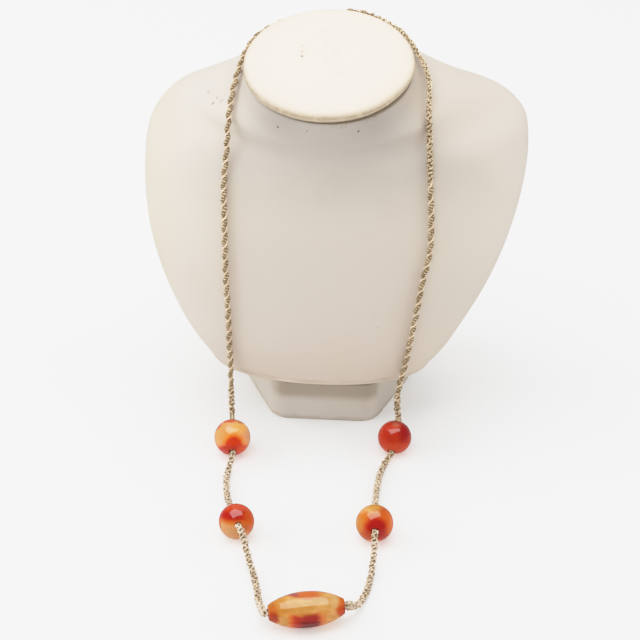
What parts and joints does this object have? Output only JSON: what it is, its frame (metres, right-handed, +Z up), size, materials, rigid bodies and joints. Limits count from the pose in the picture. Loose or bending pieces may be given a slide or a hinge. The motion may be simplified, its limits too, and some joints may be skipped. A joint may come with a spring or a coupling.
{
  "type": "agate necklace on a neck bust",
  "caption": "Long knotted cord strung with round and barrel agate beads, hung on a small padded neck bust with its lower loop lying on the table in front.",
  "frame": {"origin": "on the table, under the middle of the neck; the middle of the foot's underside is 3 mm to its right", "axes": "+Z up, the bust faces -Y, and +X is on the right as the bust is looked at from the front"},
  "size_m": [0.2015, 0.2506, 0.2127],
  "materials": {
    "leatherette": "satin, fine embossed grain",
    "pad_leatherette": "satin, smooth and padded",
    "knotted_cord": "waxed fibre, twisted and knotted",
    "agate_honey": "polished translucent agate, honey with red bands",
    "agate_red": "polished translucent agate, red with honey bands"
  },
  "bodies": {
    "root": {"bust_body": "leatherette", "neck_pad": "pad_leatherette", "foot": "leatherette", "cord": "knotted_cord", "bead_upper_left": "agate_honey", "bead_upper_right": "agate_red", "bead_lower_left": "agate_red", "bead_lower_right": "agate_honey", "bead_barrel": "agate_honey"}
  },
  "joints": []
}
